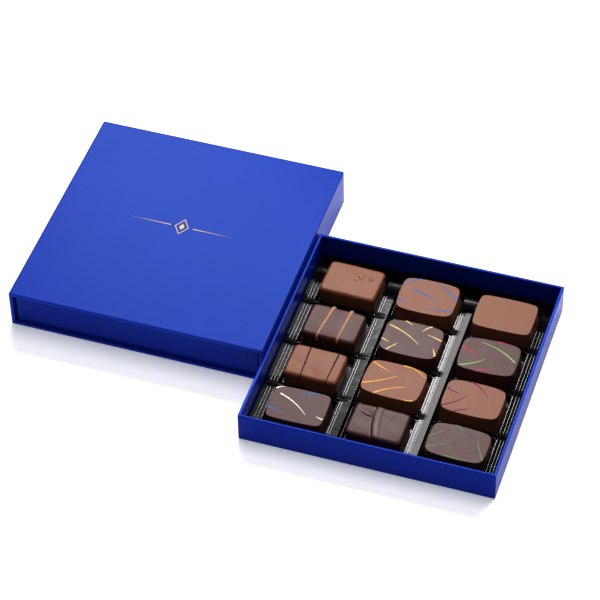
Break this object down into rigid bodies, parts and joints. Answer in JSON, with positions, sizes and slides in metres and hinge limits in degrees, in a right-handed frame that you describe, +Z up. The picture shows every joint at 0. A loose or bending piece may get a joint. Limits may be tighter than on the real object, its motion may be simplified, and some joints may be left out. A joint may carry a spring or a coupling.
{
  "type": "box of chocolate pralines",
  "caption": "Shallow square tray of assorted chocolate pralines in a formed black insert, drawn out and lying beside the rigid blue slide sleeve that it fits.",
  "frame": {"origin": "middle of the underside of the whole, sleeve and tray together", "axes": "+Z up, +X from the sleeve to the tray, +Y from the front edges to the back edges"},
  "size_m": [0.3104, 0.204, 0.0256],
  "materials": {
    "wrapped_board": "greyboard wrapped in satin royal-blue paper",
    "formed_plastic": "thermoformed sheet, high gloss",
    "milk_chocolate": "tempered milk chocolate, soft satin sheen",
    "dark_chocolate": "tempered dark chocolate, soft satin sheen"
  },
  "bodies": {
    "root": {"sleeve": "wrapped_board", "sleeve_end": "wrapped_board", "tray": "wrapped_board", "insert": "formed_plastic", "praline_1_1": "milk_chocolate", "praline_1_2": "milk_chocolate", "praline_1_3": "milk_chocolate", "praline_2_1": "dark_chocolate", "praline_2_2": "dark_chocolate", "praline_2_3": "dark_chocolate", "praline_3_1": "milk_chocolate", "praline_3_2": "milk_chocolate", "praline_3_3": "milk_chocolate", "praline_4_1": "dark_chocolate", "praline_4_2": "dark_chocolate", "praline_4_3": "dark_chocolate"}
  },
  "joints": []
}
